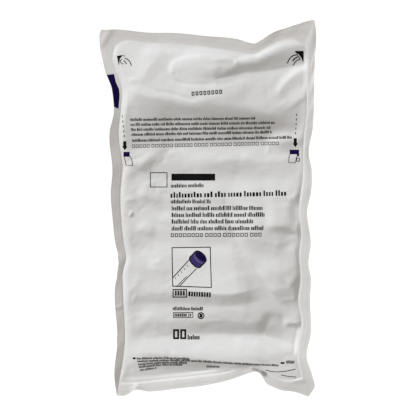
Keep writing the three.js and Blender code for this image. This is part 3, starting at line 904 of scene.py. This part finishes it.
class Print:
    """Flat shapes of one ink, laid on the lid as thin closed slabs that follow its folds."""

    def __init__(self, lid_tree, seed):
        self.skin = Skin()
        self.tree = lid_tree
        self.random = np.random.default_rng(seed)

    def height(self, x, y):
        return self.tree.ray_cast(Vector((x * MM, y * MM, 1)), Vector((0, 0, -1)))[0].z / MM

    def area(self, first_edge, second_edge):
        """The area between two lines that run the same way."""
        along = max(part_lengths(first_edge).sum(), part_lengths(second_edge).sum())
        count = max(2, math.ceil(along / INK_STEP) + 1)
        first, second = resampled(first_edge, count), resampled(second_edge, count)
        gap = np.linalg.norm(second - first, axis=-1).max()
        rows = max(2, math.ceil(gap / INK_STEP) + 1)
        plan = mix(first[:, None], second[:, None], np.linspace(0, 1, rows)[None, :, None])
        step, rise = plan[-1, 0] - plan[0, 0], (plan[0, -1] + plan[-1, -1]) - (plan[0, 0] + plan[-1, 0])
        if step[0] * rise[1] - step[1] * rise[0] < 0:
            plan = plan[::-1]
        plan = plan + MIDDLE
        heights = np.array([[self.height(x, y) for x, y in column] for column in plan])
        top = self.skin.add(with_height(plan, heights + INK_LIFT))
        under = self.skin.add(with_height(plan, heights - INK_SINK))
        self.skin.grid(top)
        self.skin.stitch(border_of(top), border_of(under))
        self.skin.grid(under[:, ::-1])

    def bar(self, left, right, low, high):
        self.area([(left, low), (right, low)], [(left, high), (right, high)])

    def line(self, width, *points):
        """A line of even width through points."""
        points = np.array(points, dtype=float)
        step = np.gradient(points, axis=0)
        step /= np.linalg.norm(step, axis=-1, keepdims=True)
        side = np.stack([-step[:, 1], step[:, 0]], axis=-1) * width / 2
        self.area(points - side, points + side)

    def frame(self, width, *corners):
        """Four lines round a box given by its corners, anticlockwise."""
        corners = np.array(corners, dtype=float)
        inward = corners.mean(axis=0) - corners
        inner = corners + inward * width / np.abs(inward)
        for k in range(4):
            after = (k + 1) % 4
            self.area([corners[k], corners[after]], [inner[k], inner[after]])

    def box_frame(self, width, left, right, low, high):
        self.frame(width, (left, low), (right, low), (right, high), (left, high))

    def ring(self, width, middle, radius):
        angles = np.radians(np.linspace(0, 360, 2 * ARC_STEPS + 1))
        ray = np.stack([np.cos(angles), np.sin(angles)], axis=-1)
        outer, inner = np.array(middle) + ray * radius, np.array(middle) + ray * (radius - width)
        for k in range(0, 2 * ARC_STEPS, RING_PART):
            self.area(inner[k : k + RING_PART + 1], outer[k : k + RING_PART + 1])

    def greeked(self, size, path, letter=(0.24, 0.5), gap=0.17, word=(4, 14), tall=0.3, hollow=0):
        """A row of plain blocks in place of a line of lettering, size high: widths of the blocks and gap
        between them as shares of size, how many are in a word, share of tall ones, and the width of
        their lines if they are hollow."""
        path = smooth_path(path)
        reach = reach_along(path)
        at = 0.0
        while at < reach[-1] - size * letter[0]:
            for _ in range(self.random.integers(*word)):
                width = size * self.random.uniform(*letter)
                if at + width > reach[-1]:
                    break
                base = points_at(path, reach, [at, at + width])
                step = base[1] - base[0]
                up = np.array([-step[1], step[0]]) / np.linalg.norm(step)
                rise = size * (TALL_LETTER if self.random.random() < tall else 1)
                if hollow:
                    self.frame(hollow, base[0], base[1], base[1] + up * rise, base[0] + up * rise)
                else:
                    self.area(base, base + up * rise)
                at += width + size * gap
            at += size * WORD_GAP


# Rows of greeked lettering: height, and path from the left end to the right end.
NOTICE_ROWS = [
    (1.5, [(-54.5, 61), (33.4, 62.2)]), (1.5, [(-54.2, 57.5), (47.4, 59)]),
    (1.5, [(-53.9, 54), (44.2, 55.4)]), (1.5, [(-53.5, 50.5), (45.3, 52.3)]),
    (1.5, [(-53.2, 46.3), (59.2, 48.6)]),
]
DETAIL_ROWS = [
    (2, [(-26, 3.2), (2.6, 3.2)]), (2.2, [(-25.4, -1.7), (39.4, -1.4)]), (2.2, [(-25.4, -6.4), (41, -6.1)]),
    (2.2, [(-25.4, -11), (32.9, -10.8)]), (2.2, [(-25.4, -15.8), (39.4, -15.5)]),
]
HOLLOW_ROWS = [(2.3, [(-53, 42.1), (51.3, 44.2)], 0.36), (2.6, [(-26, -20.4), (38.8, -20)], 0.5)]
FOOT_ROWS = [
    (1.1, [(-49.9, -106.2), (-30, -105.8), (-13, -106.4)]),
    (1.1, [(-49.4, -108.2), (-30, -107.4), (-8, -107.9), (20, -109.6), (49.5, -110.9)]),
    (1.1, [(-48.9, -110.2), (-32, -109), (-14, -109.2)]),
    (1.1, [(-48.3, -112.1), (-34, -110.6), (-18, -110.4)]),
    (1.1, [(-47.6, -114.2), (-42, -113.4), (-36, -112.6)]),
]
LABEL_ROWS = [(2, [(-26, 14.2), (-3, 14.6)]), (1.8, [(-24.7, -71.6), (-3.3, -71.8)])]
FOOT_LABEL_ROWS = [(1.5, [(54.8, -109), (60.6, -108.9)]), (1.1, [(-1, -111.6), (8.6, -111.9)])]


def draw_rows(ink):
    """Greeked lettering."""
    for size, path in NOTICE_ROWS + DETAIL_ROWS:
        ink.greeked(size, path)
    for size, path, line in HOLLOW_ROWS:
        ink.greeked(size, path, (0.8, 0.95), 0.25, (4, 9), 0, line)
    for size, path in FOOT_ROWS + LABEL_ROWS:
        ink.greeked(size, path)
    ink.greeked(3.5, [(-23.2, -61.4), (-16, -61.4)], (0.34, 0.42), 0.16, (20, 21), 0)
    ink.greeked(2.2, [(-23.4, -76.1), (-14.6, -76.1)], (0.34, 0.46), 0.16, (20, 21), 0)
    ink.bar(-52.7, -50.7, -106, -104.6)
    ink.bar(50.9, 53.6, -109.2, -107.9)
    for size, path in FOOT_LABEL_ROWS:
        ink.greeked(size, path)


def draw_bold(ink):
    """Bold blocks, frames, rules and marks."""
    ink.greeked(2.8, [(-26.2, 7.1), (56.5, 8.6)], (0.36, 0.6), 0.27, (3, 12), 0.25)
    ink.bar(-25.6, 5, 19.2, 24)  # plain bar in the maker's place
    ink.box_frame(0.55, -40.6, -28.4, 14.4, 25)
    ink.greeked(2.8, [(-11.4, 79), (11.4, 80.6)], (0.66, 0.72), 0.3, (20, 21), 0, 0.62)
    for left in (-24.4, -19.4):
        ink.box_frame(1.32, left, left + 4.2, -91.8, -84.8)
    ink.greeked(2.4, [(-14.2, -92.1), (-5.6, -91.9)], (0.3, 0.44), 0.14, (20, 21))
    ink.greeked(3.3, [(-13.8, -61.8), (1.9, -62.6)], (0.34, 0.44), 0.17, (40, 41), 0)
    ink.box_frame(0.72, -24.8, -14.7, -62.8, -56.8)
    ink.box_frame(0.45, -24.4, -10.4, -77, -73)
    ink.bar(-13.8, -13.4, -77, -73)
    ink.bar(-12.8, -11.9, -76, -74.1)
    ink.ring(0.75, (-4.9, -75.4), 2.45)
    ink.bar(-5.9, -3.9, -76.7, -74.1)
    ink.line(0.45, (40.4, -113.4), (44, -114.4), (48.1, -114.8), (54, -114.4), (61.3, -112.9))
    ink.line(0.45, (51.1, -116.9), (56, -117.9), (61.7, -118.4))
    draw_tube_lines(ink)
    draw_tear_marks(ink)


# Picture of a capped tube in a thin frame, which leans from the frame's lower left to its upper right.
# Places on it are distances down its axis from the middle of the cap's end.
TUBE_FRAME = [(-25, -55.1), (2.7, -56.1), (1.9, -27.2), (-25.5, -27.5)]
TUBE_TURN = math.radians(45)
TUBE_AXIS = np.array([math.cos(TUBE_TURN), math.sin(TUBE_TURN)])
CAP_END = np.array([-5.3, -34.2])
CAP_SIDE_LENGTH = 5.4
CAP_HALF_WIDTH = 4.5
CAP_BAND = (0.9, 1.6)
CAP_BAND_GAP = 0.03
CAP_SIDE_GAP = 0.05
CAP_HALF_DEPTH = 2.2
CAP_FOOT_DEPTH = CAP_HALF_DEPTH * 0.75
CAP_LINE = 0.95
TICK_START = np.array([-14.7, -40.0])
TICK_STEP = np.array([-2.08, -2.15])
TICK = (0.5, -1.2)
TICKS = 5


def cap_curve(down, bulge, grow=0.0):
    """Half of an oval across the pictured tube, down from the cap's end. Bulges under 0 bend down."""
    angles = np.radians(np.linspace(180, 0, ARC_STEPS + 1))
    wide, deep = (CAP_HALF_WIDTH + grow) * np.cos(angles), bulge * np.sin(angles)
    across = np.array([TUBE_AXIS[1], -TUBE_AXIS[0]])
    return CAP_END - down * TUBE_AXIS + wide[:, None] * across + deep[:, None] * TUBE_AXIS


def draw_tube_lines(ink):
    ink.frame(0.62, *TUBE_FRAME)
    for down, bulge, grown in (
        (0, CAP_HALF_DEPTH, CAP_HALF_DEPTH + CAP_LINE),
        (CAP_SIDE_LENGTH, -CAP_FOOT_DEPTH, -CAP_FOOT_DEPTH - CAP_LINE),
    ):
        ink.area(cap_curve(down, grown, CAP_LINE), cap_curve(down, bulge))
    for side in (-1, 1):
        edge = side * (CAP_HALF_WIDTH + CAP_LINE / 2) * np.array([1, -1]) / math.sqrt(2)
        ink.line(CAP_LINE, CAP_END + edge, CAP_END - CAP_SIDE_LENGTH * TUBE_AXIS + edge)
    ink.line(0.62, (-13.2, -36.4), (-24.9, -49.1))
    ink.line(0.56, (-8, -42.4), (-20.1, -54.9))
    ink.line(0.46, (-14.8, -47.9), (-21.8, -54.9))
    for tick in range(TICKS):
        top = TICK_START + tick * TICK_STEP
        ink.line(0.42, top, top + TICK)


# Dashed tear lines, as the first and last dash, and the arrows at their feet, as (x, top).
TEAR_LINES = [((-60.1, 64.3), (-58.7, 50.6)), ((62.2, 65.6), (61.4, 52.6))]
DASHES = 5
ARROWS = [(-58.3, 46.8), (61.2, 48.9)]


def draw_tear_marks(ink):
    """Peel corners, dashed tear lines, their arrows and the small fold symbols."""
    ink.area([(-63.9, 106.7), (-63.3, 103.7), (-62.7, 100.5)],
             [(-59.4, 107.3), (-61.8, 104.9), (-62.4, 100.5)])
    ink.bar(-59, -58.3, 106.4, 107.1)
    ink.line(0.6, (-58.7, 105.4), (-56.5, 104.4), (-54.7, 102.4), (-53.7, 99.8))
    ink.line(0.55, (-60.5, 104.6), (-61.6, 103.2), (-61.1, 101.8), (-59.5, 100.9))
    ink.line(0.65, (-59.2, 103.6), (-57, 101.1))
    ink.area([(61.2, 109.2), (63.6, 107.9), (65.9, 104.9), (66.4, 102.8)],
             [(61.4, 110.3), (67.2, 110.3), (67.1, 105), (66.9, 102.8)])
    ink.line(0.72, (62.7, 107.8), (59.6, 106.9), (57.3, 104.8), (55.6, 101.5))
    ink.line(0.65, (65, 104.5), (62.8, 103.8), (61, 102.2), (59.7, 100))
    ink.line(0.6, (62.5, 107.8), (63.5, 106.1), (64.9, 104.5))
    ink.line(1, (62.9, 105.9), (61, 105), (59.4, 103.2))
    for share in np.arange(DASHES) / (DASHES - 1):
        for top, foot in TEAR_LINES:
            x, y = mix(np.array(top), np.array(foot), share)
            ink.bar(x - 0.25, x + 0.25, y - 1, y + 0.6)
    for x, top in ARROWS:
        ink.bar(x - 1.1, x + 1.1, top - 3.6, top)
        ink.area([(x - 1.9, top - 3.6), (x - 0.1, top - 6.2)], [(x + 1.9, top - 3.6), (x + 0.1, top - 6.2)])
    ink.line(0.45, (-58.6, 35.9), (-57.4, 29.9), (-52.6, 29.9))
    ink.line(0.45, (-54.9, 36.6), (-53.6, 34.4), (-52.6, 29.9))
    ink.line(0.45, (57.2, 37.4), (56.2, 31.9), (61.2, 31.5), (62.1, 36.2))
    ink.box_frame(0.45, 61.9, 64.2, 32.5, 35.2)


# Mark at the left edge, which it follows between two places in y, a little inside it.
MARK_SPAN = (70.5, 93.8)
MARK_INSET = 0.25
MARK_STEPS = 400  # along the whole left edge
MARK_SIDE = [(-65.9, 93.9), (-64.6, 88.3), (-62.3, 83), (-62, 78.7), (-62.8, 69.6)]


def draw_violet(ink):
    """Mark at the left edge, tear symbols and the end of the pictured cap."""
    edge = edge_curves(OUTLINE)["left"](np.linspace(0, 1, MARK_STEPS)) - MIDDLE
    edge = edge[(edge[:, 1] > MARK_SPAN[0]) & (edge[:, 1] < MARK_SPAN[1])][::-1] + [MARK_INSET, 0]
    ink.area(edge, MARK_SIDE)
    ink.bar(-59.2, -54.9, 35.9, 39.3)
    ink.bar(57.2, 63.8, 37.6, 40.8)
    ink.bar(62.3, 63.8, 36.2, 37.6)
    ink.area(cap_curve(0, CAP_HALF_DEPTH), cap_curve(0, -CAP_HALF_DEPTH))


def draw_cap_side(ink):
    """Side of the pictured cap on both sides of its band."""
    ink.area(cap_curve(CAP_SIDE_GAP, -CAP_HALF_DEPTH), cap_curve(CAP_BAND[0], -CAP_HALF_DEPTH))
    ink.area(cap_curve(CAP_BAND[1], -CAP_HALF_DEPTH), cap_curve(CAP_SIDE_LENGTH, -CAP_FOOT_DEPTH))


def draw_cap_band(ink):
    """Band round the side of the pictured cap."""
    first, last = CAP_BAND[0] + CAP_BAND_GAP, CAP_BAND[1] - CAP_BAND_GAP
    ink.area(cap_curve(first, -CAP_HALF_DEPTH), cap_curve(last, -CAP_HALF_DEPTH))


# Pieces of print: name, drawing, seed of its rows of blocks, its ink's name and colour, and slot.
PRINTS = [
    ("print_rows", draw_rows, 17, "ink_soft_black", (0.02, 0.018, 0.017), "print_dark"),
    ("print_bold", draw_bold, 29, "ink_black", (0.005, 0.0045, 0.0045), "print_dark"),
    ("print_violet", draw_violet, 0, "ink_violet", (0.005, 0.001, 0.032), "print_violet"),
    ("print_cap_side", draw_cap_side, 0, "ink_cap_side", (0.034, 0.024, 0.1), "print_violet"),
    ("print_cap_band", draw_cap_band, 0, "ink_cap_band", (0.11, 0.09, 0.2), "print_violet"),
]

# ---- Materials ----

FILM_SPECULAR = 0.2
INK_ROUGHNESS = 0.6
INK_SPECULAR = 0.06
INK_MOTTLE_SCALE = 900
INK_THINNER = 1.35  # colour of ink where it is thinner, against its own
CLOUD_SCALE = 45
CLOUD_DETAIL = 4
GRAIN_SCALE = 130
GRAIN_DETAIL = 5
GRAIN_ROUGHNESS = 0.6
GRAIN_STRENGTH = 0.5
GRAIN_HEIGHT = 0.0008


def new_material(name, colour, roughness, specular):
    """A plain material, its node tree and its shader."""
    material = bpy.data.materials.new(name)
    material.use_nodes = True
    shader = material.node_tree.nodes["Principled BSDF"]
    shader.inputs["Base Color"].default_value = (*colour, 1)
    shader.inputs["Roughness"].default_value = roughness
    shader.inputs["Specular IOR Level"].default_value = specular
    return material, material.node_tree, shader


def add_noise(tree, place, **settings):
    """Noise over place, which is a texture coordinate node."""
    noise = tree.nodes.new("ShaderNodeTexNoise")
    for name, value in settings.items():
        noise.inputs[name].default_value = value
    tree.links.new(place.outputs["Object"], noise.inputs["Vector"])
    return noise.outputs["Fac"]


def add_ramp(tree, source, target, stops):
    """Colours target by source, through (place, colour) stops."""
    node = tree.nodes.new("ShaderNodeValToRGB")
    for element, (place, colour) in zip(node.color_ramp.elements, stops):
        element.position = place
        element.color = (*colour, 1)
    tree.links.new(source, node.inputs["Fac"])
    tree.links.new(node.outputs["Color"], target)
    return node.color_ramp


def film_material(name, light, shade, roughness):
    """Film with faint clouds, and a fine grain as a bump."""
    material, tree, shader = new_material(name, light, roughness, FILM_SPECULAR)
    place = tree.nodes.new("ShaderNodeTexCoord")
    cloud = add_noise(tree, place, Scale=CLOUD_SCALE, Detail=CLOUD_DETAIL)
    add_ramp(tree, cloud, shader.inputs["Base Color"], [(0, shade), (1, light)])
    bump = tree.nodes.new("ShaderNodeBump")
    bump.inputs["Strength"].default_value = GRAIN_STRENGTH
    bump.inputs["Distance"].default_value = GRAIN_HEIGHT
    grain = add_noise(tree, place, Scale=GRAIN_SCALE, Detail=GRAIN_DETAIL, Roughness=GRAIN_ROUGHNESS)
    tree.links.new(grain, bump.inputs["Height"])
    tree.links.new(bump.outputs["Normal"], shader.inputs["Normal"])
    return material


def ink_material(name, colour):
    """Flat ink, a little thinner in places."""
    material, tree, shader = new_material(name, colour, INK_ROUGHNESS, INK_SPECULAR)
    mottle = add_noise(tree, tree.nodes.new("ShaderNodeTexCoord"), Scale=INK_MOTTLE_SCALE)
    thinner = [channel * INK_THINNER for channel in colour]
    add_ramp(tree, mottle, shader.inputs["Base Color"], [(0, colour), (1, thinner)])
    return material


# ---- Build ----

lid_material = film_material("lid_film", (0.65, 0.647, 0.641), (0.617, 0.612, 0.603), 0.62)
# The formed web is the lid's white film with painted shade: its colour is made darker to offset the glowing
# floor's light on the walls.
formed_material_painted_shade = film_material("formed_film", (0.47, 0.468, 0.462), (0.42, 0.417, 0.41), 0.4)
sealed_material = film_material("sealed_film", (0.632, 0.619, 0.604), (0.575, 0.556, 0.539), 0.48)

grid, edge_rings = lid_surface()
lid_film = make_lid_film(grid, edge_rings, [lid_material, sealed_material])
make_formed_film(border_of(grid[..., :2]), edge_rings, [formed_material_painted_shade, sealed_material])

lid_tree = BVHTree.FromObject(lid_film, bpy.context.evaluated_depsgraph_get())
for name, draw, seed, ink_name, colour, slot in PRINTS:
    ink = Print(lid_tree, seed)
    draw(ink)
    ink.skin.make(name, [ink_material(ink_name, colour)], slot)

# ---- Studio ----

# The camera's height, view and sensor are millimetres. The other lengths of the studio are metres.
VIEW_WIDTH = 291.2
CAMERA_HEIGHT = 2600.0
SENSOR_WIDTH = 36.0
CLIP_END = 20
KEY_PLACE = (3.5, -3.75, 3.0)
KEY_AIM = (0, 0, 0.05)
KEY_SIZE = 2.0
KEY_POWER = 335
KEY_COLOUR = (0.95, 0.99, 1.04)
FLOOR_HALF_SIZE = 3.0
FLOOR_GREY = 0.25
FLOOR_ROUGHNESS = 0.9
FLOOR_GLOW = 0.92

# Light of the sky by the height of its direction, from a white horizon up to a dimmer, warmer sky.
HORIZON_COLOUR = (1.02, 1.02, 1.02)
SKY_COLOUR = (0.52, 0.497, 0.471)
SKY_LOW, SKY_HIGH = 0.09, 0.3


def make_floor():
    mesh = bpy.data.meshes.new("floor")
    corners = [(x * FLOOR_HALF_SIZE, y * FLOOR_HALF_SIZE, 0) for x, y in ((-1, -1), (1, -1), (1, 1), (-1, 1))]
    mesh.from_pydata(corners, [], [(0, 1, 2, 3)])
    material, _, shader = new_material("floor", [FLOOR_GREY] * 3, FLOOR_ROUGHNESS, 0)
    shader.inputs["Emission Color"].default_value = (1, 1, 1, 1)
    shader.inputs["Emission Strength"].default_value = FLOOR_GLOW
    mesh.materials.append(material)
    floor = add_object("floor", mesh)


def make_key_light():
    data = bpy.data.lights.new("key", "AREA")
    data.color = KEY_COLOUR
    data.shape = "DISK"
    data.size = KEY_SIZE
    data.energy = KEY_POWER
    light = add_object("key", data)
    light.location = KEY_PLACE
    light.rotation_euler = (Vector(KEY_AIM) - Vector(KEY_PLACE)).to_track_quat("-Z", "Y").to_euler()


def make_camera():
    data = bpy.data.cameras.new("camera")
    data.sensor_width = SENSOR_WIDTH
    data.lens = SENSOR_WIDTH * (CAMERA_HEIGHT - RIM_HEIGHT) / VIEW_WIDTH
    data.clip_end = CLIP_END
    camera = add_object("camera", data)
    camera.location = (*(MIDDLE * MM), CAMERA_HEIGHT * MM)
    bpy.context.scene.camera = camera


def make_world():
    """Even light from above, whiter and as bright as the floor where it meets the floor."""
    world = bpy.data.worlds.new("studio")
    world.use_nodes = True
    tree = world.node_tree
    direction = tree.nodes.new("ShaderNodeTexCoord")
    split = tree.nodes.new("ShaderNodeSeparateXYZ")
    tree.links.new(direction.outputs["Generated"], split.inputs["Vector"])
    background = tree.nodes["Background"].inputs["Color"]
    ramp = add_ramp(tree, split.outputs["Z"], background, [(SKY_LOW, HORIZON_COLOUR), (SKY_HIGH, SKY_COLOUR)])
    ramp.interpolation = "EASE"
    bpy.context.scene.world = world


make_floor()
make_camera()
make_world()
make_key_light()
bpy.context.scene.view_settings.view_transform = "Standard"
